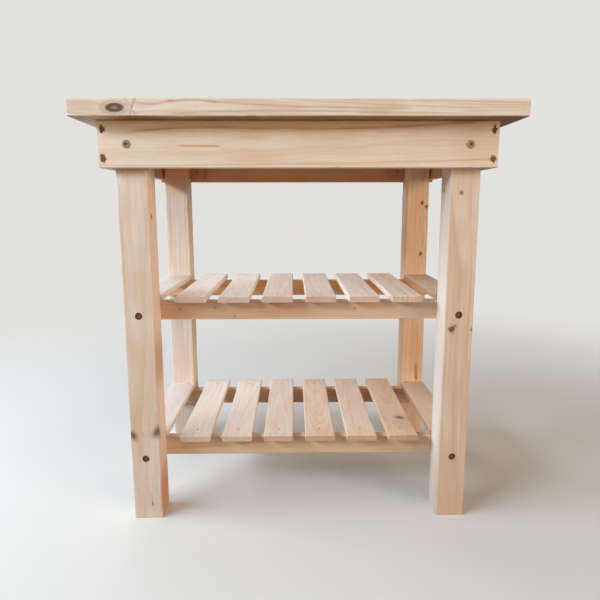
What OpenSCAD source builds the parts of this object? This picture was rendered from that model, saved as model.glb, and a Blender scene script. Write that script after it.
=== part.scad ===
// Potting bench in planed pine: a boarded top on an apron frame, four square legs
// and two slatted shelves. X runs left to right, Y from front to back, Z up.
// The origin lies on the floor under the middle of the top.

/* [Top] */
// Width of the top, left to right
top_w = 900; // [840:5:1100]
// Depth of the top, front to back
top_d = 600; // [540:5:700]
// Height of the working surface above the floor
top_h = 920; // [800:5:1000]
// Thickness of the top boards
top_t = 34; // [26:1:44]
// Number of boards in the top
top_boards = 5; // [4:1:6]
// How far the top stands out past the aprons on all four sides
top_overhang = 42; // [20:1:60]

/* [Frame] */
// Height of the front and side aprons
apron_h = 94; // [84:1:120]
// Height of the back apron
back_apron_h = 100; // [84:1:120]
// Thickness of the apron boards
apron_t = 22; // [18:1:28]
// Width of a leg, left to right
leg_w = 64; // [50:1:75]
// Depth of a leg, front to back
leg_d = 64; // [50:1:75]
// Gap between a leg and the side apron beside it
leg_gap = 4; // [0:0.5:10]
// Width of a corner block
block_w = 44; // [36:1:60]
// Thickness of a corner block
block_t = 22; // [18:1:30]
// Length of a corner block, which starts under the top
block_h = 92; // [70:1:94]

/* [Shelves] */
// Height of the lower slats' top face above the floor
low_shelf_h = 182; // [120:1:260]
// Height of the middle slats' top face above the floor
mid_shelf_h = 514; // [400:1:600]
// Height of a shelf rail
rail_h = 44; // [36:1:60]
// Thickness of a shelf rail
rail_t = 22; // [18:1:30]
// Thickness of a slat
slat_t = 14; // [10:1:20]
// Width of a slat
slat_w = 69; // [55:1:75]
// Number of slats on a shelf, with one between the legs at each end
slat_count = 8; // [6:2:8]
// Spacing of the slats that lie between the two pairs of legs
slat_pitch = 98; // [88:1:104]
// How far these slats stand out past the rails at each end
slat_overhang = 28; // [10:1:45]
// Gap between an end slat and the leg that it stops at
slat_gap = 0.5; // [0:0.1:2]

/* [Edges] */
// Radius of the eased long edges of every board
ease_r = 2; // [0.5:0.25:3]

/* [Countersunk screws] */
// Diameter of a screw head
head_d = 8.6; // [7:0.1:9.5]
// Height of the cone under a screw head
head_h = 2.8; // [2:0.1:4]
// Diameter of a screw shank
shank_d = 4.4; // [3.5:0.1:5]
// Depth that a head is sunk below the face of an apron
apron_sink = 3; // [1:0.5:6]
// Depth that a head is sunk below the face of the top or of a block
top_sink = 0.6; // [0.2:0.1:2]
// Length that an apron screw takes in the end of the side apron
end_grip = 38; // [25:1:50]
// Length that a top screw takes in the edge of an apron
edge_grip = 30; // [20:1:32]
// Length that a block screw takes in the apron
block_grip = 15; // [10:1:17]
// Distance of each apron screw from the middle of the board's height
end_screw_offset = 29; // [20:1:33]
// Distance of each block screw from the middle of the block's height
block_screw_offset = 24; // [15:1:30]
// Spacing of the pair of screws at each end of a top board
board_screw_spread = 60; // [40:1:70]
// Distance between a corner block and the outermost top screw beside it
edge_screw_inset = 14; // [8:1:40]

/* [Apron bolts] */
// Diameter of a bolt's flat head
bolt_head_d = 16.5; // [13:0.5:19]
// Thickness of a bolt's head
bolt_head_h = 2.4; // [1.5:0.1:4]
// Diameter of a bolt
bolt_d = 6; // [5:0.5:8]
// Width across flats of the hexagon socket in a bolt's head
socket_af = 5; // [4:0.5:6]
// Length that a bolt takes in a leg
bolt_grip = 45; // [30:1:48]

/* [Rail screws] */
// Diameter of the round pocket in a leg that takes a rail screw's head
pocket_d = 16; // [15.5:0.5:18]
// Depth of the pocket, head included
pocket_depth = 7; // [5:0.5:12]
// Diameter of a rail screw's broad pan head
pan_d = 14.6; // [12:0.1:15]
// Thickness of a rail screw's pan head
pan_h = 3.2; // [2:0.1:4]
// Diameter of a rail screw's shank
rail_shank_d = 5.6; // [4.5:0.1:6.5]
// Length that a rail screw takes in the rail
rail_grip = 16; // [10:1:17]

/* [Nails] */
// Diameter of a nail
nail_d = 2.4; // [1.8:0.1:3]
// Diameter of a nail's head
nail_head_d = 5; // [3.5:0.1:6]
// Thickness of a nail's head
nail_head_h = 1; // [0.6:0.1:1.5]
// Length that a nail takes in the rail
nail_grip = 16; // [10:1:20]
// Sideways shift of the end slats' nails, which keeps them off the rail screws
nail_shift = 18; // [14:1:24]

/* [Hidden] */
// room all round a shank or a head in its hole
fit = 0.1;
// how far the cut for a hole runs past the face that it opens at
past_face = 1;
// depth and width of the cross cut in a screw head, and its span as a share of the head
cross_depth = 1.6;
cross_w = 1.1;
cross_ratio = 0.6;
// top of a pan head as a share of its diameter
pan_top_ratio = 0.7;
// length of a fixing's point and width of its tip, as shares of the shank's diameter
point_ratio = 1.4;
tip_ratio = 0.15;
$fn = 48;

frame_w = top_w - 2 * top_overhang;
frame_d = top_d - 2 * top_overhang;
leg_h = top_h - top_t;
apron_mid = leg_h - apron_h / 2;
apron_y = frame_d / 2 - apron_t / 2;
side_x = frame_w / 2 - apron_t / 2;
leg_x = frame_w / 2 - apron_t - leg_gap - leg_w / 2;
leg_y = frame_d / 2 - apron_t - leg_d / 2;
leg_span = 2 * leg_x + leg_w;
block_x = leg_x - leg_w / 2 - block_w / 2;
block_y = frame_d / 2 - apron_t - block_t / 2;
block_mid = leg_h - block_h / 2;
edge_screw_x = block_x - block_w / 2 - edge_screw_inset;
shelf_span = 2 * leg_y - leg_d;
rail_y = shelf_span / 2 - rail_t / 2;
board_w = top_d / top_boards;
shelves = [["low", low_shelf_h], ["mid", mid_shelf_h]];
sides = [["left", -1], ["right", 1]];
ends = [["front", -1], ["back", 1]];

// ---- boards with eased long edges, centred on the origin ----

module eased_section(a, b) {
    square([a - 2 * ease_r, b], center = true);
    square([a, b - 2 * ease_r], center = true);
    for (x = [-1, 1], y = [-1, 1])
        translate([x * (a / 2 - ease_r), y * (b / 2 - ease_r)])
            circle(r = ease_r);
}

module board_x(length, depth, height) {
    rotate([90, 0, 90])
        linear_extrude(length, center = true)
            eased_section(depth, height);
}

module board_y(length, width, height) {
    rotate([90, 0, 0])
        linear_extrude(length, center = true)
            eased_section(width, height);
}

module board_z(length, width, depth) {
    linear_extrude(length, center = true)
        eased_section(width, depth);
}

// ---- fixings: the head's top is at the origin and the shank points down ----

// a solid turned about Z from an outline of [radius, height] points
module turned(outline) {
    rotate_extrude()
        polygon(outline);
}

// the lower part of a fixing's outline, from its tip up to the full width
function tip_line(d, length) = [
    [0, -length],
    [d * tip_ratio / 2, -length],
    [d / 2, -length + d * point_ratio]
];

module cross_recess(head_across) {
    across = head_across * cross_ratio;
    for (turn = [0, 90])
        rotate(turn)
            translate([-across / 2, -cross_w / 2, -cross_depth])
                cube([across, cross_w, 2 * cross_depth]);
}

module countersunk_screw(length) {
    difference() {
        turned(concat(tip_line(shank_d, length), [
            [shank_d / 2, -head_h],
            [head_d / 2, 0],
            [0, 0]
        ]));
        cross_recess(head_d);
    }
}

// the hole for a screw whose head is sunk by this much, cut from the face down
module countersunk_hole(length, sink) {
    bore_r = shank_d / 2 + fit;
    room_r = head_d / 2 + fit;
    room_h = head_h * room_r / (head_d / 2);
    turned([
        [0, -sink - length - fit],
        [bore_r, -sink - length - fit],
        [bore_r, -sink - room_h],
        [room_r, -sink],
        [room_r, past_face],
        [0, past_face]
    ]);
}

module bolt(length) {
    chamfer = bolt_head_h / 2;
    socket_floor = bolt_head_h / 3;
    difference() {
        turned(concat(tip_line(bolt_d, length), [
            [bolt_d / 2, 0],
            [bolt_head_d / 2, 0],
            [bolt_head_d / 2, bolt_head_h - chamfer],
            [bolt_head_d / 2 - chamfer, bolt_head_h],
            [0, bolt_head_h]
        ]));
        translate([0, 0, socket_floor])
            cylinder(h = bolt_head_h, d = socket_af / cos(30), $fn = 6);
    }
}

module bolt_hole(length) {
    translate([0, 0, -length - fit])
        cylinder(h = length + fit + past_face, d = bolt_d + 2 * fit);
}

module pan_screw(length) {
    difference() {
        turned(concat(tip_line(rail_shank_d, length), [
            [rail_shank_d / 2, 0],
            [pan_d / 2, 0],
            [pan_d / 2, pan_h / 2],
            [pan_d * pan_top_ratio / 2, pan_h],
            [0, pan_h]
        ]));
        translate([0, 0, pan_h])
            cross_recess(pan_d);
    }
}

// the bore for the shank and the pocket above it, which opens at the leg's face
module pocket_hole(length) {
    bore_r = rail_shank_d / 2 + fit;
    turned([
        [0, -length - fit],
        [bore_r, -length - fit],
        [bore_r, 0],
        [pocket_d / 2, 0],
        [pocket_d / 2, pocket_depth + past_face],
        [0, pocket_depth + past_face]
    ]);
}

module nail(length) {
    turned(concat(tip_line(nail_d, length), [
        [nail_d / 2, -nail_head_h],
        [nail_head_d / 2, -nail_head_h],
        [nail_head_d / 2, 0],
        [0, 0]
    ]));
}

module nail_hole(length) {
    bore_r = nail_d / 2 + fit;
    room_r = nail_head_d / 2 + fit;
    turned([
        [0, -length - fit],
        [bore_r, -length - fit],
        [bore_r, -nail_head_h - fit],
        [room_r, -nail_head_h - fit],
        [room_r, past_face],
        [0, past_face]
    ]);
}

// ---- places of the fixings, each turned so that the shank points down ----

// one pair of screws at each end of every board that lies on the side aprons only,
// and a row of screws along the front and back aprons
module at_top_screws() {
    inner_boards = [2 : top_boards - 1];
    for (i = inner_boards, s = [-1, 1], p = [-1, 1])
        translate([s * side_x, board_y_at(i) + p * board_screw_spread / 2, top_h])
            children();
    for (e = [-1, 1], share = [-1 : 0.5 : 1])
        translate([share * edge_screw_x, e * apron_y, top_h])
            children();
}

module at_apron_screws() {
    for (e = [-1, 1], s = [-1, 1], p = [-1, 1])
        translate([s * side_x, e * frame_d / 2, apron_mid + p * end_screw_offset])
            rotate([-e * 90, 0, 0])
                children();
}

module at_apron_bolts() {
    for (e = [-1, 1], s = [-1, 1])
        translate([s * leg_x, e * frame_d / 2, apron_mid])
            rotate([-e * 90, 0, 0])
                children();
}

module at_block_screws() {
    for (e = [-1, 1], s = [-1, 1], p = [-1, 1])
        translate([s * block_x, e * (block_y - block_t / 2), block_mid + p * block_screw_offset])
            rotate([e * 90, 0, 0])
                children();
}

// at the bottom of each pocket
module at_rail_screws() {
    for (f = shelves, e = [-1, 1], s = [-1, 1])
        translate([s * leg_x, e * (leg_y + leg_d / 2 - pocket_depth), rail_mid(f[1])])
            rotate([-e * 90, 0, 0])
                children();
}

module at_slat_nails(shelf_h) {
    for (i = [1 : slat_count], e = [-1, 1])
        translate([nail_x(i), e * rail_y, shelf_h])
            children();
}

function board_y_at(i) = -top_d / 2 + (i - 0.5) * board_w;
function rail_mid(shelf_h) = shelf_h - slat_t - rail_h / 2;
function is_end_slat(i) = i == 1 || i == slat_count;
function slat_x(i) =
    is_end_slat(i) ? (i == 1 ? -leg_x : leg_x) : (i - (slat_count + 1) / 2) * slat_pitch;
function nail_x(i) =
    is_end_slat(i) ? slat_x(i) - sign(slat_x(i)) * nail_shift : slat_x(i);

// lengths of the fixings, head included where it is sunk
top_screw_l = top_t - top_sink + edge_grip;
apron_screw_l = apron_t - apron_sink + end_grip;
block_screw_l = block_t - top_sink + block_grip;
bolt_l = apron_t + bolt_grip;
rail_screw_l = leg_d - pocket_depth + rail_grip;
nail_l = slat_t + nail_grip;

module top_screw_holes() {
    at_top_screws() countersunk_hole(top_screw_l, top_sink);
}

module apron_screw_holes() {
    at_apron_screws() countersunk_hole(apron_screw_l, apron_sink);
}

module apron_bolt_holes() {
    at_apron_bolts() bolt_hole(bolt_l);
}

module block_screw_holes() {
    at_block_screws() countersunk_hole(block_screw_l, top_sink);
}

module rail_screw_holes() {
    at_rail_screws() pocket_hole(rail_screw_l);
}

module slat_nail_holes() {
    for (f = shelves)
        at_slat_nails(f[1]) nail_hole(nail_l);
}

// ---- the pieces ----

module top_board(i) {
    color("#e6cba9")
        difference() {
            translate([0, board_y_at(i), top_h - top_t / 2])
                board_x(top_w, board_w, top_t);
            top_screw_holes();
        }
}

module cross_apron(end) {
    height = end < 0 ? apron_h : back_apron_h;
    color("#dcbd96")
        difference() {
            translate([0, end * apron_y, leg_h - height / 2])
                board_x(frame_w, apron_t, height);
            top_screw_holes();
            apron_screw_holes();
            apron_bolt_holes();
            block_screw_holes();
        }
}

module side_apron(side) {
    color("#dcbd96")
        difference() {
            translate([side * side_x, 0, apron_mid])
                board_y(frame_d - 2 * apron_t, apron_t, apron_h);
            top_screw_holes();
            apron_screw_holes();
        }
}

module leg(end, side) {
    color("#e3c4a2")
        difference() {
            translate([side * leg_x, end * leg_y, leg_h / 2])
                board_z(leg_h, leg_w, leg_d);
            apron_bolt_holes();
            rail_screw_holes();
        }
}

module corner_block(end, side) {
    color("#c89f74")
        difference() {
            translate([side * block_x, end * block_y, block_mid])
                board_z(block_h, block_w, block_t);
            block_screw_holes();
        }
}

module rail(shelf_h, end) {
    color("#e0bf98")
        difference() {
            translate([0, end * rail_y, rail_mid(shelf_h)])
                board_x(leg_span, rail_t, rail_h);
            rail_screw_holes();
            slat_nail_holes();
        }
}

module slat(shelf_h, i) {
    length = is_end_slat(i) ? shelf_span - 2 * slat_gap : shelf_span + 2 * slat_overhang;
    color("#ecd3b6")
        difference() {
            translate([slat_x(i), 0, shelf_h - slat_t / 2])
                board_y(length, slat_w, slat_t);
            slat_nail_holes();
        }
}

module slat_nails(shelf_h) {
    color("#7d756a")
        at_slat_nails(shelf_h) nail(nail_l);
}

module top_screws() {
    color("#a59a63")
        at_top_screws() translate([0, 0, -top_sink]) countersunk_screw(top_screw_l);
}

module apron_screws() {
    color("#6b5d45")
        at_apron_screws() translate([0, 0, -apron_sink]) countersunk_screw(apron_screw_l);
}

module apron_bolts() {
    color("#958a55")
        at_apron_bolts() bolt(bolt_l);
}

module rail_screws() {
    color("#5b4a36")
        at_rail_screws() pan_screw(rail_screw_l);
}

module block_screws() {
    color("#a59a63")
        at_block_screws() translate([0, 0, -top_sink]) countersunk_screw(block_screw_l);
}

for (i = [1 : top_boards])
    top_board(i);
for (e = ends)
    cross_apron(e[1]);
for (s = sides)
    side_apron(s[1]);
for (e = ends, s = sides)
    leg(e[1], s[1]);
for (e = ends, s = sides)
    corner_block(e[1], s[1]);
for (f = shelves, e = ends)
    rail(f[1], e[1]);
for (f = shelves, i = [1 : slat_count])
    slat(f[1], i);
for (f = shelves)
    slat_nails(f[1]);
top_screws();
apron_screws();
apron_bolts();
rail_screws();
block_screws();
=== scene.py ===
import math
import bpy
import bmesh
from mathutils import Matrix, Vector, noise


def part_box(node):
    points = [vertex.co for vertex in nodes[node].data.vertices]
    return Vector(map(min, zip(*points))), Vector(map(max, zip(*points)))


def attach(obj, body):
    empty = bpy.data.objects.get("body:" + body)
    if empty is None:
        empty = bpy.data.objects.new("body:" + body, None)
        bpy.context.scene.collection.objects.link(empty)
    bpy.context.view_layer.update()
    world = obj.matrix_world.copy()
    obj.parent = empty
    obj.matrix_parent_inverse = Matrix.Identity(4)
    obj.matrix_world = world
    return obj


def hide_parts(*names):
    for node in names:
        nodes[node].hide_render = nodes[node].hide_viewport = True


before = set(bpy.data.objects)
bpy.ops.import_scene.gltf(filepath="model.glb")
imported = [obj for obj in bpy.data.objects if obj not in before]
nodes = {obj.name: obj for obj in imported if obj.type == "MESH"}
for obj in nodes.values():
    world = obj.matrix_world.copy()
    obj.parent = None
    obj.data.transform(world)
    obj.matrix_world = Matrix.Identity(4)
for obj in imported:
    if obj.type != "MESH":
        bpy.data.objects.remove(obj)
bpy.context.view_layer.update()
mm = 1000  # looks are in millimetres of the bench's own frame, meshes in metres
print("bench loaded:", len(nodes), "pieces")


def tone(red, green, blue, cover=1.0):  # a screen tone, 0 to 255, as a shader colour
    parts = [value / 255 for value in (red, green, blue)]
    parts = [v / 12.92 if v < 0.04045 else ((v + 0.055) / 1.055) ** 2.4 for v in parts]
    return (*parts, cover)


def ordered(axes):  # where the bench's x, y and z come in a board's along, across and through
    return ["xyz".index(letter) for letter in axes]


class Wire:  # one output of a shader node, ready for sums
    def __init__(self, finish, socket):
        self.finish = finish
        self.socket = socket

    def out(self, which):
        return Wire(self.finish, self.socket.node.outputs[which])

    def work(self, operation, *values):
        return self.finish.add("ShaderNodeMath", {"operation": operation}, dict(enumerate(values)))

    def __add__(self, other):
        return self.work("ADD", self, other)

    def __radd__(self, other):
        return self.work("ADD", other, self)

    def __sub__(self, other):
        return self.work("SUBTRACT", self, other)

    def __rsub__(self, other):
        return self.work("SUBTRACT", other, self)

    def __mul__(self, other):
        return self.work("MULTIPLY", self, other)

    def __rmul__(self, other):
        return self.work("MULTIPLY", other, self)

    def __truediv__(self, other):
        return self.work("DIVIDE", self, other)

    def __rtruediv__(self, other):
        return self.work("DIVIDE", other, self)

    def fade(self, start, end, low=0.0, high=1.0):  # low at start, high at end, eased between
        return self.finish.add("ShaderNodeMapRange", {"interpolation_type": "SMOOTHSTEP"}, {
            "Value": self, "From Min": start, "From Max": end, "To Min": low, "To Max": high})


class Finish:  # a material and its node sheet
    def __init__(self, name):
        self.material = bpy.data.materials.new(name)
        self.material.use_nodes = True
        self.tree = self.material.node_tree
        self.shader = self.tree.nodes["Principled BSDF"]

    def add(self, kind, settings={}, sockets={}):
        node = self.tree.nodes.new(kind)
        for key, value in settings.items():
            if key == "stops":
                spare = node.color_ramp.elements
                spare.remove(spare[1])
                spare[0].position, spare[0].color = value[0]
                for place, colour in value[1:]:
                    spare.new(place).color = colour
            else:
                setattr(node, key, value)
        for key, value in sockets.items():
            self.plug(node.inputs[key], value)
        return Wire(self, node.outputs[0])

    def plug(self, socket, value):
        if isinstance(value, Wire):
            self.tree.links.new(value.socket, socket)
        else:
            socket.default_value = value

    def vector(self, operation, *values):
        return self.add("ShaderNodeVectorMath", {"operation": operation}, dict(enumerate(values)))

    def length(self, vector):
        return self.vector("LENGTH", vector).out("Value")

    def dot(self, first, second):
        return self.vector("DOT_PRODUCT", first, second).out("Value")

    def joined(self, *parts):  # a vector from its parts; a part that is None stays 0
        sockets = {i: part for i, part in enumerate(parts) if part is not None}
        return self.add("ShaderNodeCombineXYZ", {}, sockets)

    def mix(self, share, first, second, kind="MIX"):
        sockets = {0: share, 6: first, 7: second}  # 6, 7 and output 2 are the colour ones
        return self.add("ShaderNodeMix", {"data_type": "RGBA", "blend_type": kind}, sockets).out(2)

    def ramp(self, share, stops):
        return self.add("ShaderNodeValToRGB", {"stops": stops}, {0: share})

    def curve(self, share, stops):  # a ramp of plain numbers
        return self.ramp(share, [(place, (value, value, value, 1)) for place, value in stops])

    def cloud(self, spot, size, seed, detail=2.0):  # soft noise with lumps of this size
        moved = self.add("ShaderNodeMapping", {}, {
            "Vector": spot, "Location": (seed * 3.7, seed * 1.9, seed * -2.3),
            "Scale": tuple(1 / part for part in size)})
        return self.add("ShaderNodeTexNoise", {}, {"Vector": moved, "Scale": 1.0, "Detail": detail})

    def wave(self, value):  # soft noise along one number
        return self.add("ShaderNodeTexNoise", {"noise_dimensions": "1D"}, {
            "W": value, "Scale": 1.0, "Detail": 1.0})

    def bump(self, height, strength, depth):
        bump = self.add("ShaderNodeBump", {}, {
            "Strength": strength, "Distance": depth, "Height": height})
        self.plug(self.shader.inputs["Normal"], bump)


# pine: growth rings round the heart of the trunk, cut by each board at its own place
pineLook = {
    "cream": tone(232, 214, 199), "blush": tone(225, 198, 180), "tan": tone(198, 154, 118),
    "golden": tone(210, 163, 118), "resin": tone(150, 96, 56), "endTone": tone(196, 152, 112),
    "heart": (14, 70),        # where the trunk's heart lies from the board's middle, mm
    "ring": 5.0,              # growth of one year, mm
    "ringDepth": 0.6,         # how dark the summer wood is
    "taper": 14,              # how far the rings drift along a metre, mm
    "wander": 5,              # how far they stray, mm
    "fibre": 0.34, "streaks": 0.4, "ducts": 0.4,  # how strongly fibres, streaks, ducts show
    "endDepth": 0.45,         # how much darker the ends are
    "knots": [], "bands": [], "flushes": [], "scars": [], "holeShades": [],
    "rough": 0.54, "gloss": 0.35, "bump": 0.35, "bumpDepth": 0.0005,
    "ease": 2.3, "endEase": 0.9,  # the rounding of the long edges and of the ends, mm
    "seed": 1.0,
}

figures = {  # lumps of the figure along, across and through a board in mm, a seed, fineness
    "sway": ((160, 60, 60), 11, 1.0),
    "gnarl": ((5, 3, 3), 7, 2.0),
    "stray": ((260, 80, 80), 23, 1.0),
    "fibre": ((70, 1.5, 1.5), 31, 3.0),
    "streaks": ((240, 7, 7), 37, 2.0),
    "mottle": ((120, 40, 40), 41, 2.0),
    "ducts": ((10, 0.8, 0.8), 43, 1.0),
    "breaks": ((60, 4, 4), 53, 2.0),
    "planing": ((25, 12, 12), 61, 2.0),
    "holeMottle": ((5, 5, 5), 71, 1.0),
}
yearCurve = [(0, 0), (0.4, 0.08), (0.72, 0.55), (0.9, 1.0), (0.96, 0.8), (1.0, 0.0)]
yearLook = {  # how often the width and the darkness of the years change, and how much
    "paceEvery": 0.21, "pace": 1.8, "forceEvery": 0.37, "palest": 0.25,
}
knotBend = {  # how the fibres bend round a knot: how early, from how near, and how much
    "early": 0.42, "near": 1.6, "push": 0.9,
}
reliefLook = {"fibre": 0.55, "rings": 0.5, "planing": 0.8}  # shares of the bump's height

# shades from the middle of a knot, 0, past its rim, 0.5, to clear wood, 1
largeKnot = [
    (0.00, tone(166, 112, 78, 0.85)), (0.26, tone(146, 94, 62, 0.92)),
    (0.38, tone(120, 72, 44, 0.97)), (0.46, tone(82, 48, 28, 1.0)),
    (0.52, tone(112, 70, 42, 0.85)), (0.60, tone(176, 128, 88, 0.45)),
    (0.80, tone(206, 162, 122, 0.2)), (1.00, tone(214, 176, 140, 0.0)),
]
smallKnot = [
    (0.00, tone(112, 72, 46, 0.95)), (0.30, tone(126, 82, 54, 0.9)),
    (0.45, tone(104, 64, 40, 0.85)), (0.58, tone(158, 112, 78, 0.5)),
    (0.82, tone(198, 154, 118, 0.2)), (1.00, tone(214, 176, 140, 0.0)),
]
softKnot = [
    (0.00, tone(96, 66, 48, 0.9)), (0.28, tone(118, 82, 60, 0.85)),
    (0.48, tone(150, 110, 82, 0.6)), (0.75, tone(190, 148, 116, 0.28)),
    (1.00, tone(214, 178, 146, 0.0)),
]
spikeKnot = [
    (0.00, tone(164, 124, 112, 0.9)), (0.10, tone(148, 108, 96, 0.92)),
    (0.18, tone(112, 76, 68, 0.97)), (0.34, tone(96, 64, 56, 1.0)),
    (0.44, tone(128, 92, 78, 0.92)), (0.52, tone(196, 164, 144, 0.6)),
    (0.60, tone(200, 172, 152, 0.5)), (0.68, tone(182, 150, 128, 0.55)),
    (0.75, tone(200, 168, 144, 0.3)), (0.85, tone(214, 176, 146, 0.1)),
    (1.00, tone(214, 176, 146, 0.0)),
]


def knot(at, runs, size, shades=None, rag=0.45, share=1.0):  # a branch through a point
    shades = shades or (smallKnot if size < 6 else largeKnot)
    return {"at": at, "runs": runs, "size": size, "shades": shades, "rag": rag, "share": share}


def flush(at, size, share, colour):  # a soft patch of another tone
    return {"at": at, "size": size, "share": share, "tone": colour}


def scar(start, end, width, share, colour):  # a short mark that doesn't follow the grain
    return {"between": (start, end), "width": width, "share": share, "tone": colour}


# a dark or resinous stripe, painted shade or a painted highlight that follows the grain through
# places along the board and a level, 1 across it or 2 through it; it starts and ends softly, and
# can stop under a height
def band(through, width, share, colour, starts=None, ends=None, soft=0, under=None, level=1):
    return {"through": through, "width": width, "share": share, "tone": colour,
            "starts": starts, "ends": ends, "soft": soft, "under": under, "level": level}


def curveThrough(points):  # numbers a, b, c of a + b*t + c*t*t through two or three points
    if len(points) == 2:
        (t0, v0), (t1, v1) = points
        slope = (v1 - v0) / (t1 - t0)
        return v0 - slope * t0, slope, 0.0
    (t0, v0), (t1, v1), (t2, v2) = points
    first = (v1 - v0) / (t1 - t0)
    second = ((v2 - v1) / (t2 - t1) - first) / (t2 - t0)
    return v0 - first * t0 + second * t0 * t1, first - second * (t0 + t1), second


class Timber(Finish):  # the pine of one board, in mm along, across and through it
    def __init__(self, node, axes, look):
        super().__init__(node + "_pine")
        self.look = look
        self.order = ordered(axes)
        low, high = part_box(node)
        self.middle = (low + high) * (mm / 2)
        place = self.add("ShaderNodeTexCoord").out("Object")
        spot = self.vector("MULTIPLY_ADD", place, (mm, mm, mm), tuple(-self.middle))
        split = self.add("ShaderNodeSeparateXYZ", {}, {0: spot})
        self.along, self.across, self.through = [split.out(i) for i in self.order]
        self.spot = self.joined(self.along, self.across, self.through)
        self.gnarl = self.figure("gnarl") - 0.5
        self.bendRoundKnots()

    def turned(self, vector):  # the bench's x, y and z as along, across and through
        return tuple(vector[i] for i in self.order)

    def inBoard(self, point):  # a point of the bench, from the board's middle
        return tuple(point[i] - self.middle[i] for i in self.order)

    def level(self, axis, value):  # one measure of the bench, from the board's middle
        return value - self.middle[self.order[axis]]

    def awayFrom(self, point):
        return self.vector("SUBTRACT", self.spot, self.inBoard(point))

    def figure(self, kind):
        size, shift, detail = figures[kind]
        return self.cloud(self.spot, size, self.look["seed"] + shift, detail)

    def bendRoundKnots(self):  # the fibres' own ways across and through, pushed aside by knots
        sway = self.figure("sway") - 0.5
        self.wideways = self.across + sway * 3
        self.deepways = self.through + sway * 2
        self.knotGaps = []
        for branch in self.look["knots"]:
            size = branch["size"]
            centre = self.inBoard(branch["at"])
            runs = Vector(self.turned(branch["runs"])).normalized()
            away = self.awayFrom(branch["at"])
            gap = self.length(self.vector("CROSS_PRODUCT", away, tuple(runs)))
            lens = self.vector("MULTIPLY", away, (knotBend["early"], 1, 1))
            lens = self.vector("CROSS_PRODUCT", lens, tuple(runs))
            reach = self.dot(lens, lens)
            core = size * size * knotBend["near"]
            push = core / reach.work("MAXIMUM", reach, core)
            if abs(runs[2]) > abs(runs[1]):
                self.wideways -= (self.across - centre[1]) * push * knotBend["push"]
            else:
                self.deepways -= (self.through - centre[2]) * push * knotBend["push"]
            rag = branch["rag"] / max(size, 3)
            self.knotGaps.append((branch, gap * (0.5 / size) + self.gnarl * rag))  # rim at 0.5

    def rings(self):  # 0 in the spring wood to 1 in the summer wood of each year
        look = self.look
        heartAcross, heartThrough = look["heart"]
        fromHeart = self.joined(None, self.wideways - heartAcross, self.deepways - heartThrough)
        taper = self.along * (look["taper"] / mm)
        stray = (self.figure("stray") - 0.5) * look["wander"] * 2
        turns = (self.length(fromHeart) + taper + stray) / look["ring"]
        pace = self.wave(turns * yearLook["paceEvery"] + look["seed"])
        turns = turns + pace * yearLook["pace"]
        force = self.wave(turns * yearLook["forceEvery"] + look["seed"] * 5)
        phase = turns.work("FRACT", turns)
        return self.curve(phase, yearCurve) * force.fade(0.3, 0.7, yearLook["palest"], 1.0)

    def ends(self):  # 1 on the board's two ends
        only = tuple(1.0 if i == self.order[0] else 0.0 for i in range(3))
        normal = self.add("ShaderNodeTexCoord").out("Normal")
        return self.length(self.vector("MULTIPLY", normal, only)).fade(0.5, 0.95)

    def withFlushes(self, colour):
        for patch in self.look["flushes"]:
            away = self.vector("DIVIDE", self.awayFrom(patch["at"]), self.turned(patch["size"]))
            gap = self.length(away) + self.gnarl * 0.3
            colour = self.mix(gap.fade(1.0, 0.2, 0.0, patch["share"]), colour, patch["tone"])
        return colour

    def withBands(self, colour):
        for stripe in self.look["bands"]:
            level = stripe["level"]
            points = [(self.level(0, p), self.level(level, q)) for p, q in stripe["through"]]
            start, slope, sag = curveThrough(points)
            line = self.along * self.along * sag + self.along * slope + start
            off = (self.wideways if level == 1 else self.deepways) - line
            share = off.work("ABSOLUTE", off).fade(stripe["width"] / 2, 0, 0, stripe["share"])
            share = share * self.figure("breaks").fade(0.2, 0.6, 0.45, 1.0)
            if stripe["starts"] is not None:
                starts, ends = self.level(0, stripe["starts"]), self.level(0, stripe["ends"])
                share = share * self.along.fade(starts, starts + stripe["soft"])
                share = share * self.along.fade(ends, ends - stripe["soft"])
            if stripe["under"] is not None:
                under = self.level(2, stripe["under"])
                share = share * self.through.fade(under, under - 1)
            colour = self.mix(share, colour, stripe["tone"])
        return colour

    def withScars(self, colour):
        for mark in self.look["scars"]:
            start, end = [Vector(self.inBoard(point)) for point in mark["between"]]
            run = end - start
            away = self.vector("SUBTRACT", self.spot, tuple(start))
            share = self.dot(away, tuple(run / run.length_squared))
            share = self.add("ShaderNodeClamp", {}, {0: share})
            nearest = self.vector("MULTIPLY", tuple(run), self.joined(share, share, share))
            off = self.length(self.vector("SUBTRACT", away, nearest)) + self.gnarl * mark["width"]
            colour = self.mix(off.fade(mark["width"], 0, 0, mark["share"]), colour, mark["tone"])
        return colour

    def withHoleShades(self, colour):  # painted shade inside a hole, below the face it is drilled from
        for hollow in self.look["holeShades"]:
            away = self.awayFrom(hollow["at"])
            into = self.turned(hollow["into"])
            gap = self.length(self.vector("CROSS_PRODUCT", away, into))
            depth = self.dot(away, into)
            share = gap.fade(hollow["radius"] * 1.15, hollow["radius"])
            share = share * depth.fade(0.1, 0.5, 0, hollow["share"])
            share = share * depth.fade(hollow["deep"] + 1, hollow["deep"])
            lean = self.dot(away, self.turned(hollow["bright"]))
            patch = (self.figure("holeMottle") + lean * 0.06).fade(0.5, 0.6)
            colour = self.mix(share, colour, self.mix(patch, hollow["tone"], hollow["second"]))
        return colour

    def withKnots(self, colour):
        for branch, gap in self.knotGaps:
            stain = self.ramp(gap, branch["shades"])
            colour = self.mix(stain.out("Alpha") * branch["share"], colour, stain)
        return colour


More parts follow.
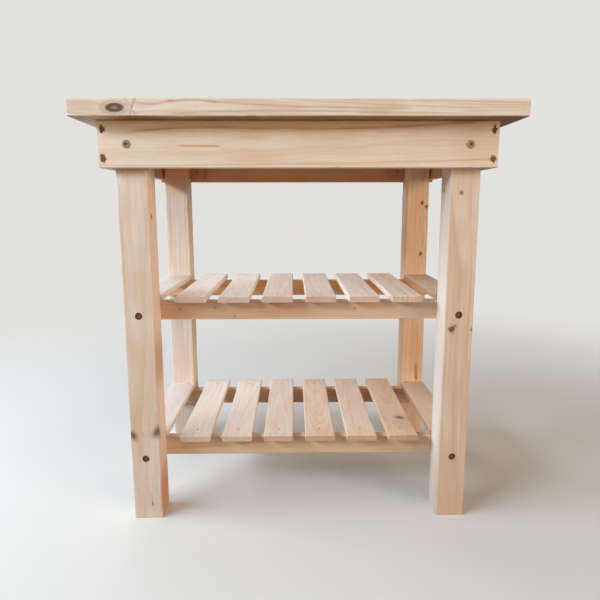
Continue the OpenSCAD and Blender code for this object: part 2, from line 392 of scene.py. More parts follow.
def pine(node, axes, look):
    wood = Timber(node, axes, look)
    rings, fibre, ends = wood.rings(), wood.figure("fibre"), wood.ends()
    streaks = wood.figure("streaks").fade(0.45, 0.75) * look["streaks"]
    ducts = wood.figure("ducts").fade(0.68, 0.76) * look["ducts"]
    colour = wood.mix(wood.figure("mottle").fade(0.35, 0.68), look["cream"], look["blush"])
    colour = wood.mix(rings * look["ringDepth"], colour, look["tan"])
    colour = wood.mix(streaks, colour, look["golden"])
    colour = wood.mix(fibre.fade(0.42, 0.8) * look["fibre"], colour, look["golden"])
    colour = wood.mix(ducts, colour, look["resin"])
    colour = wood.withHoleShades(wood.withScars(wood.withBands(wood.withFlushes(colour))))
    colour = wood.withKnots(colour)
    colour = wood.mix(ends * look["endDepth"], colour, look["endTone"], "MULTIPLY")
    wood.plug(wood.shader.inputs["Base Color"], colour)
    rough = fibre * 0.16 - rings * 0.1 + ends * 0.15 + look["rough"]
    wood.plug(wood.shader.inputs["Roughness"], rough)
    height = fibre * reliefLook["fibre"] + rings * reliefLook["rings"]
    height = height + wood.figure("planing") * reliefLook["planing"]
    wood.bump(height, look["bump"], look["bumpDepth"])
    wood.shader.inputs["Specular IOR Level"].default_value = look["gloss"]
    return wood.material


# boards: planed stock with worn long edges, cut by the holes of the bench
stockLook = {
    "skin": 0.00005,     # how far the planed board stays inside its solid, metres
    "station": 0.016,    # from one outline of a board to the next, metres
    "arcPoints": 5,      # points on the rounding of each long edge
    # shares of the edge's radius: how far it varies, how deep its few dents are, above which
    # noise they begin, and how much sharper than usual it may be
    "softened": 0.35, "dented": 3.2, "dentFrom": 0.42, "sharpest": -0.1,
}
corners = ((1, 1), (-1, 1), (-1, -1), (1, -1))  # the side of each long edge, across and through


def edgeWear(reach, corner, seed):  # how much rounder a long edge is at this place
    seat = Vector((reach * 30, corner * 9.1 + seed * 3.3, seed))
    dent = max(0.0, noise.noise(seat * 3.1) - stockLook["dentFrom"]) * stockLook["dented"]
    return max(stockLook["sharpest"], noise.noise(seat) * stockLook["softened"] + dent)


def outlines(length, endEase):  # places along a board, with how far the outline draws in there
    steps = max(6, int(length / stockLook["station"]))
    places = [(0, 1.0), (endEase * 0.3, 0.3), (endEase, 0.0)]
    places += [(endEase + (length - 2 * endEase) * i / steps, 0.0) for i in range(1, steps)]
    return places + [(length - endEase, 0.0), (length - endEase * 0.3, 0.3), (length, 1.0)]


def stock(node, axes, look):  # the board before it is drilled
    low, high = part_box(node)
    order = ordered(axes)
    lo = [low[i] + stockLook["skin"] for i in order]
    hi = [high[i] - stockLook["skin"] for i in order]
    endEase = look["endEase"] / mm
    places = outlines(hi[0] - lo[0], endEase)
    arc = stockLook["arcPoints"]
    points, faces = [], []
    for reach, pinch in places:
        for corner, (signA, signT) in enumerate(corners):
            radius = look["ease"] / mm * (1.0 + edgeWear(reach, corner, look["seed"]))
            inset = radius + pinch * endEase
            for k in range(arc):
                angle = math.radians(90 * corner + 90 / (arc - 1) * k)
                spot = [0, 0, 0]
                spot[order[0]] = lo[0] + reach
                spot[order[1]] = ((hi[1] if signA > 0 else lo[1]) - signA * inset
                                  + math.cos(angle) * radius)
                spot[order[2]] = ((hi[2] if signT > 0 else lo[2]) - signT * inset
                                  + math.sin(angle) * radius)
                points.append(spot)
    count = arc * len(corners)
    for ring in range(len(places) - 1):
        for k in range(count):
            here, there = ring * count + k, ring * count + (k + 1) % count
            faces.append((here, there, there + count, here + count))
    faces.append(tuple(range(count)))
    faces.append(tuple(range((len(places) - 1) * count, len(places) * count)))
    mesh = bpy.data.meshes.new(node + "_stock")
    mesh.from_pydata(points, [], faces)
    work = bmesh.new()
    work.from_mesh(mesh)
    bmesh.ops.recalc_face_normals(work, faces=work.faces)
    work.to_mesh(mesh)
    work.free()
    return mesh


def drilled(node):  # the node's own shape with its holes, welded
    mesh = nodes[node].data.copy()
    work = bmesh.new()
    work.from_mesh(mesh)
    bmesh.ops.remove_doubles(work, verts=work.verts, dist=1e-6)
    work.to_mesh(mesh)
    work.free()
    return mesh


def tornMouth(centre, into, seed, look):  # a ragged cone that opens a screw hole at the face
    work = bmesh.new()
    across = Vector((1, 0, 0))
    up = Vector(into).cross(across)
    sides = look["sides"]
    rings = [(-1.0, look["mouth"] * 1.15), (0.0, look["mouth"]), (look["depth"], look["bore"])]
    rows = []
    for deep, wide in rings:
        row = []
        for k in range(sides):
            angle = math.tau * k / sides
            seat = Vector((math.cos(angle) * 1.9, math.sin(angle) * 1.9, seed))
            rag = 1 + look["rag"] * noise.noise(seat)
            toward = across * math.cos(angle) + up * math.sin(angle) * look["tall"]
            spot = Vector(centre) + Vector(into) * deep / mm + toward * wide * rag / (2 * mm)
            row.append(work.verts.new(spot))
        rows.append(row)
    for upper, lower in zip(rows, rows[1:]):
        for k in range(sides):
            after = (k + 1) % sides
            work.faces.new((upper[k], upper[after], lower[after], lower[k]))
    work.faces.new(rows[0])
    work.faces.new(rows[-1])
    bmesh.ops.recalc_face_normals(work, faces=work.faces)
    mesh = bpy.data.meshes.new("tornMouth")
    work.to_mesh(mesh)
    work.free()
    return mesh


def board(node, axes, look, mouths=()):
    look = dict(pineLook, **look)
    piece = bpy.data.objects.new(node + "_planed", stock(node, axes, look))
    bpy.context.scene.collection.objects.link(piece)
    helpers = []
    cutters = [(drilled(node), "INTERSECT")] + [(mouth, "DIFFERENCE") for mouth in mouths]
    for mesh, operation in cutters:
        helper = bpy.data.objects.new("helper", mesh)
        bpy.context.scene.collection.objects.link(helper)
        cut = piece.modifiers.new("cut", "BOOLEAN")
        cut.operation, cut.solver, cut.object = operation, "EXACT", helper
        helpers.append(helper)
    ready = piece.evaluated_get(bpy.context.evaluated_depsgraph_get())
    mesh = bpy.data.meshes.new_from_object(ready)
    piece.modifiers.clear()
    piece.data = mesh
    for helper in helpers:
        bpy.data.objects.remove(helper)
    mesh.materials.clear()
    mesh.materials.append(pine(node, axes, look))
    mesh.shade_smooth()
    mesh.set_sharp_from_angle(angle=math.radians(34))
    flat = piece.modifiers.new("flatFaces", "WEIGHTED_NORMAL")
    flat.keep_sharp = True
    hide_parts(node)
    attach(piece, "root")


# the worktop
topEase = 3.2  # the rounding of the boards' ends, mm
edgeTop = 919.5  # the front board's grain lines stop here, below its upper rounding


def edgeLine(through, width, share, colour, starts, ends, soft, under=None):  # on its front edge
    return band(through, width, share, colour, starts, ends, soft, under, level=2)


frontBoardLook = {
    "endEase": topEase, "heart": (18, -80), "ring": 6.2, "taper": 20, "seed": 3.1,
    "wander": 4, "ringDepth": 0.5,
    "cream": tone(240, 224, 207), "blush": tone(233, 208, 188),
    "knots": [knot((-355.5, -300, 902), (-1.9, 1, 0), 9, rag=1.3, shades=spikeKnot)],
    "bands": [
        edgeLine(((-312, 905), (-286, 906), (-252, 912)), 8, 0.65,
                 tone(188, 152, 122), -322, -240, 10),
        edgeLine(((-262, 909), (-224, 914), (-165, 912)), 8, 0.65,
                 tone(184, 144, 112), -262, -150, 16, edgeTop),
        edgeLine(((-182, 912.8), (-75, 907), (188, 901.4)), 8, 0.54,
                 tone(186, 146, 114), -186, 230, 30),
        edgeLine(((-250, 892), (-121, 896), (48, 896)), 7, 0.5,
                 tone(184, 144, 112), -262, 200, 40),
        edgeLine(((150, 895.4), (281, 893.2)), 6, 0.45,
                 tone(190, 150, 116), 120, 330, 40),
        edgeLine(((2, 915.2), (141, 909), (374, 903.2)), 6, 0.42,
                 tone(192, 150, 114), -20, 470, 40, edgeTop),
        edgeLine(((234, 916.6), (327, 914.4), (421, 912.3)), 5, 0.5,
                 tone(192, 150, 114), 210, 470, 30, edgeTop),
        edgeLine(((327, 896.8), (421, 897.2)), 5, 0.35,
                 tone(196, 156, 120), 290, 460, 40),
    ],
    "flushes": [flush((-425, -300, 905), (44, 30, 22), 0.65, tone(218, 186, 164)),
                flush((-372, -300, 890), (30, 20, 12), 0.4, tone(232, 190, 170)),
                # painted shade on the underside at the front board's left end and near its knot
                flush((-436, -279, 886), (40, 60, 3.4), 0.9, tone(192, 184, 162)),
                flush((-318, -279, 886), (104, 60, 3.4), 1.0, tone(152, 106, 62))],
    "scars": [
        scar((-322, -300, 904), (-316, -300, 919), 4.4, 0.5, tone(150, 124, 100)),
        scar((-322, -300, 904), (-327, -300, 888), 3.2, 0.4, tone(178, 138, 104)),
        scar((-323, -300, 901), (-316, -300, 888), 3.2, 0.4, tone(178, 138, 104)),
        scar((-323, -300, 905), (-336, -300, 919), 3.2, 0.45, tone(178, 138, 104)),
    ],
}
# painted shade along the underside of all the top boards, darker under the front board
undersideShade = edgeLine(((-450, 886), (450, 886)), 7, 1.0, tone(186, 132, 80), -418, 470, 16)
frontBoardLook["bands"].append(dict(undersideShade, tone=tone(152, 106, 62)))
board("top_board_1", "xyz", frontBoardLook)
topLooks = [
    {"heart": (-20, 60), "seed": 4.4, "ring": 4.2, "taper": 22,
     "knots": [knot((-160, -140, 920), (0.3, 0.1, 1), 9),
               knot((250, -95, 920), (0.2, -0.2, 1), 5)]},
    {"heart": (8, 44), "seed": 5.7, "ring": 4.8, "taper": 30,
     "knots": [knot((60, 12, 920), (-0.3, 0.1, 1), 7),
               knot((-330, -20, 920), (0.3, 0.1, 1), 4)]},
    {"heart": (25, -70), "seed": 6.9, "ring": 4.4, "taper": -18,
     "knots": [knot((330, 130, 920), (-0.2, 0.2, 1), 10)]},
    {"heart": (-10, 52), "seed": 8.3, "ring": 5.0, "taper": 26,
     "knots": [knot((-90, 250, 920), (0.25, 0.3, 1), 8),
               knot((200, 300, 905), (0.3, 1, 0.1), 6)]},
]
for index, look in enumerate(topLooks):
    board("top_board_%d" % (index + 2), "xyz", dict(look, endEase=topEase, bands=[undersideShade]))
print("worktop boards made")

# the aprons
endScrews = {"x": (-397, 397), "z": (810, 868), "headRadius": 4.3}  # mm
tornHole = {"mouth": 13.6, "bore": 8.7, "depth": 2.4, "rag": 0.75, "tall": 1.25, "sides": 20}
# painted shade in the mouths of the aprons' end screws: a dark tone with a paler one mixed in
holeShadeLook = {"radius": 12, "deep": 5, "share": 0.95,
            "tone": tone(118, 80, 52), "second": tone(226, 184, 150)}


def tornHoles(side):  # the torn mouths of an apron's end screws, -1 for the front one
    low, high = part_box("apron_screws")
    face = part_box("front_apron")[0].y if side < 0 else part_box("back_apron")[1].y
    headRadius = endScrews["headRadius"] / mm
    edgeX = (high.x - low.x) / 2 - headRadius
    middleZ = (low.z + high.z) / 2
    offZ = (high.z - low.z) / 2 - headRadius
    mouths = []
    for x in (-1, 1):
        for z in (-1, 1):
            centre = (x * edgeX, face, middleZ + z * offZ)
            mouths.append(tornMouth(centre, (0, -side, 0), x * 2.0 + z + side * 5, tornHole))
    return mouths


def screwHoleShades(y):  # painted shade in those mouths, paler on the side towards the middle
    into = (0, -math.copysign(1, y), 0)
    return [dict(holeShadeLook, at=(x, y, z), into=into, bright=(-math.copysign(1, x), 0, 0))
            for x in endScrews["x"] for z in endScrews["z"]]


frontApronLook = {
    "heart": (-24, 150), "ring": 5.5, "taper": -4, "seed": 9.2,
    "wander": 3, "ringDepth": 0.16, "streaks": 0.16,
    "cream": tone(243, 223, 203), "blush": tone(238, 212, 187),
    "bands": [
        band(((-391, 858), (-279, 870), (-150, 873)), 24, 0.5, tone(220, 156, 102), -408, -70, 90),
        band(((-160, 873), (185, 874), (350, 884)), 24, 0.5, tone(224, 154, 98), -160, 420, 90),
        band(((-391, 857), (-279, 869), (-150, 872)), 8, 0.5, tone(160, 104, 64), -360, -90, 60),
        band(((-160, 872), (185, 873), (350, 883)), 8, 0.55, tone(160, 104, 64), -140, 400, 60),
        band(((-385, 797), (2, 800), (370, 808)), 6, 0.5, tone(192, 146, 106)),
        band(((-385, 794), (2, 794), (370, 801)), 6, 0.4, tone(246, 226, 200)),
        band(((-250, 835), (-160, 835)), 7, 0.85, tone(208, 148, 102), -252, -156, 16),
    ],
    "flushes": [flush((0, -258, 822), (500, 30, 10), 0.25, tone(222, 184, 148)),
                flush((375, -258, 835), (110, 30, 70), 0.6, tone(226, 190, 154)),
                flush((0, -258, 791), (700, 30, 7), 0.6, tone(255, 226, 198)),
                # painted warm shade along the apron's top, under the overhang
                flush((0, -258, 890), (900, 30, 24), 0.9, tone(255, 202, 130))],
    "holeShades": screwHoleShades(-258),
}


def insideShade(x):  # painted warm shade on the inner face of a side apron
    return [flush((x, 0, 840), (9, 900, 300), 0.8, tone(206, 150, 110))]


backApronLook = {
    "heart": (10, 50), "seed": 10.4, "ring": 6, "ringDepth": 0.5,
    # the cream and blush here are a painted warm shade, and the two patches at the lower corners
    # beyond the legs are painted shade
    "cream": tone(224, 170, 122), "blush": tone(214, 154, 106), "holeShades": screwHoleShades(258),
    "flushes": [flush((x, 236, 786), (24, 8, 12), 0.8, tone(160, 104, 66)) for x in (-395, 395)],
    "knots": [knot((-120, 258, 862), (0.2, 1, -0.3), 8)],
}
leftApronLook = {"heart": (-14, -60), "seed": 11.6, "ring": 5.5, "flushes": insideShade(-386),
                 "knots": [knot((-408, 60, 850), (1, 0.3, 0.1), 6)]}
rightApronLook = {"heart": (16, 56), "seed": 12.8, "ring": 5.5, "flushes": insideShade(386)}
board("front_apron", "xzy", frontApronLook, tornHoles(-1))
board("back_apron", "xzy", backApronLook, tornHoles(1))
board("left_apron", "yzx", leftApronLook)
board("right_apron", "yzx", rightApronLook)
print("aprons made")

# the legs
# the painted shade on the walls of the legs' screw pockets
pocketShadeLook = {"radius": 8.2, "deep": 8, "share": 0.92, "bright": (0, 0, 0),
              "tone": tone(112, 82, 50), "second": tone(130, 94, 58)}


def pocketShades(x, y):  # painted shade on the walls of a leg's two screw pockets
    return [dict(pocketShadeLook, at=(x, y, z), into=(0, -math.copysign(1, y), 0)) for z in (146, 478)]


frontLeftLegLook = {
    "heart": (-34, 90), "ring": 6.5, "taper": -26, "seed": 14.3,
    "wander": 4, "ringDepth": 0.24, "streaks": 0.24,
    "cream": tone(232, 214, 198), "blush": tone(225, 199, 178), "holeShades": pocketShades(-350, -236),
    "knots": [
        knot((-377, -236, 203), (-0.5, -0.8, 0.5), 8, softKnot, rag=1.5),
        knot((-321, -236, 212), (0.5, -0.7, 0.9), 8, softKnot, rag=1.5),
        knot((-318, -214, 692), (1, 0.1, 0.6), 4, softKnot),
    ],
    "bands": [band(((300, -374), (700, -376)), 6, 0.45, tone(200, 156, 120), 380, 720, 60)],
    "flushes": [flush((-348, -236, 206), (34, 40, 12), 0.18, tone(190, 148, 116)),
                flush((-372, -236, 236), (9, 30, 30), 0.3, tone(200, 150, 120)),
                flush((-322, -236, 240), (9, 30, 30), 0.35, tone(196, 142, 106)),
                # painted warm light on the inner face, dimmer and more orange lower down
                flush((-318, -204, 560), (3.4, 120, 900), 1.0, tone(255, 228, 212)),
                flush((-318, -204, 370), (3.4, 70, 90), 0.8, tone(220, 172, 140)),
                flush((-318, -204, 50), (3.6, 70, 100), 0.8, tone(228, 152, 110)),
                # painted shade on the front lower down, and painted warm shade at its top under the
                # apron
                flush((-350, -236, 300), (60, 30, 200), 0.4, tone(212, 176, 144)),
                flush((-350, -236, 800), (80, 30, 26), 0.9, tone(206, 146, 104))],
    "scars": [scar((-340, -236, 33), (-340, -236, 38), 4, 0.7, tone(112, 76, 54)),
              scar((-341, -236, 58), (-339, -236, 20), 2.6, 0.3, tone(160, 120, 92))],
}
frontRightLegLook = {
    "heart": (-30, 120), "ring": 6, "taper": 10, "seed": 15.9,
    "wander": 3, "ringDepth": 0.34, "streaks": 0.42,
    "cream": tone(234, 212, 196), "blush": tone(227, 196, 174), "holeShades": pocketShades(350, -236),
    "bands": [band(((0, 355), (150, 351), (420, 344)), 11, 0.26, tone(184, 140, 104), 70, 400, 110),
              band(((0, 364), (200, 368), (420, 367)), 8, 0.2, tone(184, 142, 106), 40, 330, 110),
              band(((0, 326), (420, 323)), 11, 0.28, tone(192, 158, 126), 60, 420, 120)],
    "knots": [
        knot((335.5, -236, 446), (0.1, -1, 0.35), 5.2, rag=2.2),
        knot((343, -236, 742), (0.1, -1, 0.3), 3.8, softKnot),
        knot((381, -236, 446), (0.3, -1, 0.5), 3.4, softKnot),
        knot((318, -195, 748), (1, 0.2, 0.8), 3.4, softKnot),
    ],
    "scars": [scar((337, -236, 447), (342.5, -236, 453), 5.6, 0.9, tone(92, 58, 38)),
              scar((335, -236, 446), (329, -236, 448), 4.5, 0.75, tone(120, 80, 56)),
              scar((339, -236, 440), (340, -236, 436), 3.6, 0.4, tone(140, 96, 66))],
    # painted light on the inner face
    "flushes": [flush((318, -204, 420), (6, 70, 620), 0.85, tone(246, 230, 217)),
                flush((336, -236, 446), (14, 20, 18), 0.3, tone(196, 140, 104)),
                flush((350, -236, 560), (20, 30, 60), 0.3, tone(206, 162, 118)),
                # painted shade on the front, lower down
                flush((350, -236, 60), (70, 30, 260), 0.55, tone(210, 168, 128)),
                flush((350, -236, 340), (60, 30, 140), 0.3, tone(210, 166, 126))],
}
backLeftLegLook = {
    "heart": (60, -90), "ring": 5, "taper": 6, "seed": 17.2, "wander": 3, "ringDepth": 0.35,
    "cream": tone(241, 226, 211), "blush": tone(237, 214, 196), "holeShades": pocketShades(-350, 236),
    # painted light on the inner face, and painted warm shade at the top under the apron
    "flushes": [flush((-318, 204, 400), (3.4, 120, 1200), 1.0, tone(255, 238, 216)),
                flush((-345, 172, 840), (90, 90, 120), 1.0, tone(238, 168, 110))],
}
backRightLegLook = {
    "heart": (10, -60), "ring": 5.5, "taper": 20, "seed": 18.6, "wander": 4, "ringDepth": 0.4,
    # the cream, blush and tan here are a painted warm light over the whole leg, whose front lies in
    # shade
    "cream": tone(255, 223, 194), "blush": tone(251, 210, 174), "tan": tone(224, 168, 124),
    "holeShades": pocketShades(350, 236),
    "knots": [
        knot((363, 172, 724), (0.2, 1, 1.0), 3.4),
        knot((376, 172, 713), (0.5, 1, 0.8), 3.2),
        knot((363, 172, 575), (0.3, 1, 1.0), 3.6),
    ],
    "flushes": [flush((362, 172, 215), (9, 16, 40), 0.6, tone(170, 110, 70)),
                flush((364, 172, 195), (6, 12, 14), 0.6, tone(140, 88, 56)),
                # painted warm shade at the top under the apron
                flush((350, 172, 880), (60, 90, 110), 0.7, tone(206, 148, 106))],
}
board("front_left_leg", "zxy", frontLeftLegLook)
board("front_right_leg", "zxy", frontRightLegLook)
board("back_left_leg", "zxy", backLeftLegLook)
board("back_right_leg", "zxy", backRightLegLook)

# the corner blocks
# the blocks' cream and blush are a painted warm shade
blockLook = {"heart": (20, 40), "rough": 0.62, "cream": tone(204, 146, 108),
             "blush": tone(192, 130, 94)}
for index, place in enumerate(("front_left", "front_right", "back_left", "back_right")):
    board(place + "_block", "zxy", dict(blockLook, seed=20.5 + index * 1.3))
print("legs and blocks made")

# the rails
railTone = {"cream": tone(228, 197, 166), "blush": tone(219, 183, 150)}
railLooks = {
    "mid_front": {
        "heart": (-20, 40), "seed": 27.1, "ring": 4.5,
        "cream": tone(219, 182, 151), "blush": tone(210, 167, 134),
        "flushes": [flush((260, -172, 478), (330, 30, 60), 0.55, tone(236, 200, 170))],
        # a painted highlight along the bottom edge
        "bands": [band(((-300, 459), (300, 459)), 7, 0.45, tone(246, 216, 194))],
        "knots": [knot((x, -172, z), (0.1, -1, 0.1), 4, softKnot, share=0.42)
                  for x, z in ((-274, 481), (-194, 484), (-148, 464), (129, 480))],
    },
    # the two back rails' cream and blush are a painted warm shade
    "mid_back": {"heart": (18, 44), "seed": 28.3,
                 "cream": tone(250, 194, 140), "blush": tone(244, 182, 124)},
    "low_front": {"heart": (14, 50), "seed": 29.7},
    "low_back": {"heart": (-16, 46), "seed": 31.1,
                 "cream": tone(230, 184, 148), "blush": tone(222, 170, 132)},
}
for name, look in railLooks.items():
    board(name + "_rail", "xzy", dict(railTone, **look))
print("rails made")

# the slats
slatTone = {"cream": tone(241, 225, 213), "blush": tone(236, 213, 197), "ring": 5.2,
            "ringDepth": 0.28, "streaks": 0.28, "fibre": 0.28, "endTone": tone(196, 140, 100)}
warmSlat = {"cream": tone(235, 210, 189), "blush": tone(229, 196, 170)}
paleSlat = {"cream": tone(243, 231, 221), "blush": tone(239, 221, 209),
            "endTone": tone(196, 138, 96)}
coolSlat = {"cream": tone(233, 223, 217), "blush": tone(228, 212, 203),
            "ringDepth": 0.2, "streaks": 0.18}
lowSlat, midSlat = 175, 507  # the height of the slats' middle on each shelf, mm
slatSeeds = {"low": 40, "mid": 65, "step": 2.3}


def paintedLightSide(x, z):  # painted warm light along the right side of a slat
    return [flush((x, 0, z), (3, 900, 40), 0.95, tone(255, 232, 214))]


def paintedShadeSide(x, z):  # painted shade along the left side of a slat
    return [flush((x, 0, z - 3), (3, 900, 20), 0.9, tone(186, 140, 106))]


slatLooks = {
    "low": [
        dict(coolSlat, heart=(20, -50), flushes=paintedLightSide(-315.5, lowSlat)),
        dict(paleSlat, heart=(-26, -60), taper=8, flushes=paintedLightSide(-210.5, lowSlat)),
        dict(paleSlat, heart=(30, 60), taper=40, flushes=paintedLightSide(-112.5, lowSlat),
             cream=tone(240, 225, 212)),
        dict(heart=(0, -46), taper=30, cream=tone(237, 218, 201), blush=tone(231, 205, 185)),
        dict(warmSlat, heart=(2, -40), taper=-70, ringDepth=0.42),
        dict(warmSlat, heart=(-20, 46), taper=-30,
             knots=[knot((243, 114, 182), (0.1, 0.8, 1), 4, softKnot, share=0.7)]),
        dict(warmSlat, heart=(2, -30), taper=-70, ringDepth=0.42,
             cream=tone(231, 203, 179), blush=tone(223, 189, 161),
             knots=[knot((257, -98, 182), (0.7, -0.5, 1), 7.8, softKnot, rag=1.5)]),
        dict(warmSlat, heart=(-30, 50), cream=tone(232, 204, 182),
             flushes=paintedShadeSide(315.5, lowSlat)),
    ],
    "mid": [
        dict(coolSlat, heart=(20, 52), flushes=paintedLightSide(-315.5, midSlat)),
        dict(paleSlat, heart=(-24, 48), taper=40, flushes=paintedLightSide(-210.5, midSlat)),
        dict(paleSlat, heart=(3, -44), taper=50, flushes=paintedLightSide(-112.5, midSlat)),
        dict(heart=(30, -56)),
        dict(heart=(-34, 60)),
        dict(heart=(10, 46), taper=-34, cream=tone(248, 231, 220), blush=tone(243, 220, 205)),
        dict(warmSlat, heart=(80, -12), taper=24, ring=9, ringDepth=0.58, streaks=0.4,
             cream=tone(252, 234, 219), blush=tone(247, 222, 204)),
        dict(warmSlat, heart=(22, -48), streaks=0.6,
             cream=tone(228, 200, 176), blush=tone(218, 184, 156),
             flushes=paintedShadeSide(315.5, midSlat),
             knots=[knot((345, 60, 514), (0.2, 0.9, 1), 4, softKnot, share=0.7),
                    knot((336, -40, 514), (0.2, 0.9, 1), 3.4, softKnot, share=0.6)]),
    ],
}
for shelf, looks in slatLooks.items():
    for index, look in enumerate(looks):
        seed = slatSeeds[shelf] + index * slatSeeds["step"]
        board("%s_slat_%d" % (shelf, index + 1), "yxz", dict(slatTone, seed=seed) | look)
print("slats made")

# metal: plated screws, bolts and nails
plateLook = {"patch": 4, "speck": 0.7,  # the sizes of the plate's patches and specks, mm
             "bump": 0.25, "bumpDepth": 0.0002}


def plated(name, look):
    finish = Finish(name)
    place = finish.add("ShaderNodeTexCoord").out("Object")
    place = finish.add("ShaderNodeVectorMath", {"operation": "SCALE"}, {0: place, "Scale": mm})
    patch = finish.cloud(place, (plateLook["patch"],) * 3, look["seed"], 3.0)
    speck = finish.cloud(place, (plateLook["speck"],) * 3, look["seed"] + 5, 2.0)
    colour = finish.mix(patch.fade(0.35, 0.65), look["tone"], look["second"])
    colour = finish.mix(speck.fade(0.58, 0.72) * look["stain"], colour, look["dirtAndSocketShade"])
    if "socketShade" in look:  # painted shade in the middle of a bolt's head, the same on all four sides
        side = finish.add("ShaderNodeSeparateXYZ", {}, {0: place})
        colour = finish.mix(side.fade(-50, 50, 0, 0.9), colour, look["rightTone"])
        parts = finish.add("ShaderNodeSeparateXYZ", {}, {0: finish.vector("ABSOLUTE", place)})
        off = finish.joined(parts - look["socketShade"][0], parts.out(2) - look["socketShade"][1])
        socketShade = finish.length(off) + speck * 1.2 - 0.6
        share = socketShade.fade(look["socketShadeSize"] * 1.35, look["socketShadeSize"] * 0.4)
        colour = finish.mix(share, colour, look["dirtAndSocketShade"])
    finish.plug(finish.shader.inputs["Base Color"], colour)
    finish.plug(finish.shader.inputs["Roughness"], speck * 0.2 + patch * 0.12 + look["rough"])
    finish.shader.inputs["Metallic"].default_value = look["metal"]
    finish.bump(speck, plateLook["bump"], plateLook["bumpDepth"])
    return finish.material


# the dirt tone also darkens the middle of the bolts' heads as painted shade
metalLooks = {
    "apron_bolts": {
        "tone": tone(160, 156, 118), "second": tone(146, 140, 106), "dirtAndSocketShade": tone(104, 88, 52),
        "stain": 0.4, "rough": 0.45, "metal": 0.45, "seed": 2.0,
        "rightTone": tone(170, 142, 92), "socketShade": (350, 839), "socketShadeSize": 4.6},
    "top_screws": {
        "tone": tone(196, 178, 118), "second": tone(168, 160, 118), "dirtAndSocketShade": tone(90, 80, 50),
        "stain": 0.4, "rough": 0.34, "metal": 0.85, "seed": 3.0},
    "block_screws": {
        "tone": tone(176, 140, 96), "second": tone(150, 116, 80), "dirtAndSocketShade": tone(90, 68, 44),
        "stain": 0.4, "rough": 0.5, "metal": 0.4, "seed": 4.0},
    "apron_screws": {
        "tone": tone(158, 114, 74), "second": tone(128, 92, 60), "dirtAndSocketShade": tone(78, 54, 34),
        "stain": 0.5, "rough": 0.55, "metal": 0.35, "seed": 5.0},
    "rail_screws": {
        "tone": tone(150, 112, 74), "second": tone(128, 94, 58), "dirtAndSocketShade": tone(74, 52, 32),
        "stain": 0.5, "rough": 0.5, "metal": 0.4, "seed": 6.0},
    "low_slat_nails": {
        "tone": tone(160, 134, 116), "second": tone(142, 114, 96), "dirtAndSocketShade": tone(104, 82, 66),
        "stain": 0.5, "rough": 0.55, "metal": 0.2, "seed": 7.0},
}
metalLooks["mid_slat_nails"] = metalLooks["low_slat_nails"]
for node, look in metalLooks.items():
    nodes[node].material_slots[0].material = plated(node + "_plate", look)
print("screws, bolts and nails plated")

# floor, light and camera
roomLook = {
    "floor": tone(228, 224, 219), "floorPatch": tone(198, 194, 189), "floorSize": 80,
    "bounce": 0.29 / 0.7,              # how much of its own tone the floor throws back
    "fadeFrom": 0.75, "fadeTo": 2.6,   # where the floor fades into the air, metres from the bench
    "air": tone(226, 225, 223), "ambient": 0.17, "ambientTone": (1.0, 0.88, 0.78, 1.0),
}


def paleFloor(look):
    half = look["floorSize"] / 2
    mesh = bpy.data.meshes.new("floor")
    rim = [(-half, -half, 0), (half, -half, 0), (half, half, 0), (-half, half, 0)]
    mesh.from_pydata(rim, [], [(0, 1, 2, 3)])
    floor = bpy.data.objects.new("floor", mesh)
    bpy.context.scene.collection.objects.link(floor)
    finish = Finish("paleFloor")
    place = finish.add("ShaderNodeTexCoord").out("Object")
    seen = finish.add("ShaderNodeLightPath").out("Is Camera Ray")
    bounce = tuple(v * look["bounce"] for v in look["floor"][:3]) + (1.0,)
    grain = finish.cloud(place, (0.5, 0.5, 0.5), 4.0, 3.0) * 0.1
    shown = finish.mix(grain, look["floor"], look["floorPatch"])
    finish.plug(finish.shader.inputs["Base Color"], finish.mix(seen, bounce, shown))
    finish.shader.inputs["Roughness"].default_value = 0.9
    finish.shader.inputs["Specular IOR Level"].default_value = 0.1
    glow = finish.add("ShaderNodeEmission", {}, {"Color": look["air"], "Strength": 1.0})
    far = finish.length(place).fade(look["fadeFrom"], look["fadeTo"])
    blend = finish.add("ShaderNodeMixShader", {}, {
        0: far * seen, 1: Wire(finish, finish.shader.outputs[0]), 2: glow})
    finish.plug(finish.tree.nodes["Material Output"].inputs["Surface"], blend)
    mesh.materials.append(finish.material)


def paleWorld(look):  # dim warm air for the bench's light, pale air for what is seen
    world = bpy.data.worlds.new("paleAir")
    bpy.context.scene.world = world
    world.use_nodes = True
    tree = world.node_tree
    tree.nodes.clear()
    path = tree.nodes.new("ShaderNodeLightPath")
    seen = tree.nodes.new("ShaderNodeMath")
    seen.operation = "MAXIMUM"
    tree.links.new(path.outputs["Is Camera Ray"], seen.inputs[0])
    tree.links.new(path.outputs["Is Glossy Ray"], seen.inputs[1])
    soft = tree.nodes.new("ShaderNodeBackground")
    soft.inputs["Color"].default_value = look["ambientTone"]
    soft.inputs["Strength"].default_value = look["ambient"]
    shown = tree.nodes.new("ShaderNodeBackground")
    shown.inputs["Color"].default_value = look["air"]
    blend = tree.nodes.new("ShaderNodeMixShader")
    output = tree.nodes.new("ShaderNodeOutputWorld")
    tree.links.new(seen.outputs[0], blend.inputs[0])
    tree.links.new(soft.outputs[0], blend.inputs[1])
    tree.links.new(shown.outputs[0], blend.inputs[2])
    tree.links.new(blend.outputs[0], output.inputs["Surface"])


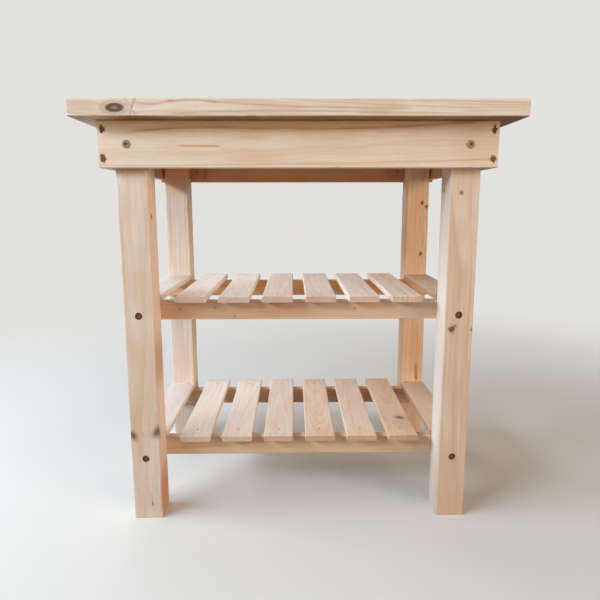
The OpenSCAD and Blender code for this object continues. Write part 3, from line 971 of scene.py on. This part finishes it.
lampAim = (0, 0, 0.5)  # the middle of the bench, metres
lampLooks = [
    {"name": "windowLight", "toward": (-1.0, -0.33, 0.5), "distance": 4.6,
     "wide": 4.8, "high": 0.8, "power": 290, "colour": (0.80, 0.97, 1.12)},
    {"name": "warmFill", "toward": (1.0, -0.85, 0.3), "distance": 6.0,
     "wide": 3.5, "high": 2.0, "power": 160, "colour": (1.0, 0.80, 0.58)},
    {"name": "frontFill", "toward": (0.2, -1.0, 0.85), "distance": 6.0,
     "wide": 5.0, "high": 2.0, "power": 34, "colour": (1.0, 0.98, 0.96)},
    {"name": "backFill", "toward": (-0.5, 1.0, 0.5), "distance": 6.0,
     "wide": 5.0, "high": 3.0, "power": 110, "colour": (1.0, 0.99, 0.97)},
]


def lamp(look):
    data = bpy.data.lights.new(look["name"], "AREA")
    data.shape, data.size, data.size_y = "RECTANGLE", look["wide"], look["high"]
    data.energy, data.color = look["power"], look["colour"]
    item = bpy.data.objects.new(look["name"], data)
    bpy.context.scene.collection.objects.link(item)
    toward = Vector(look["toward"]).normalized()
    item.location = Vector(lampAim) + toward * look["distance"]
    item.rotation_euler = toward.to_track_quat("Z", "Y").to_euler()


# place in metres, turns in radians, lens in mm, lift as a share of the frame
cameraLook = {"at": (-0.0124, -1.3206, 0.7138), "turn": 0.0128, "tilt": -0.1574, "roll": 0.0012,
              "lens": 30.43, "sensor": 36, "lift": -0.0217}


def placeCamera(look):
    data = bpy.data.cameras.new("benchCamera")
    data.lens, data.sensor_width, data.shift_y = look["lens"], look["sensor"], look["lift"]
    camera = bpy.data.objects.new("benchCamera", data)
    bpy.context.scene.collection.objects.link(camera)
    turned = (Matrix.Rotation(-look["turn"], 4, "Z")
              @ Matrix.Rotation(math.pi / 2 + look["tilt"], 4, "X")
              @ Matrix.Rotation(-look["roll"], 4, "Z"))
    camera.matrix_world = Matrix.Translation(look["at"]) @ turned
    bpy.context.scene.camera = camera


paleFloor(roomLook)
paleWorld(roomLook)
for look in lampLooks:
    lamp(look)
placeCamera(cameraLook)
bpy.context.scene.view_settings.view_transform = "Standard"
print("floor, light and camera set")
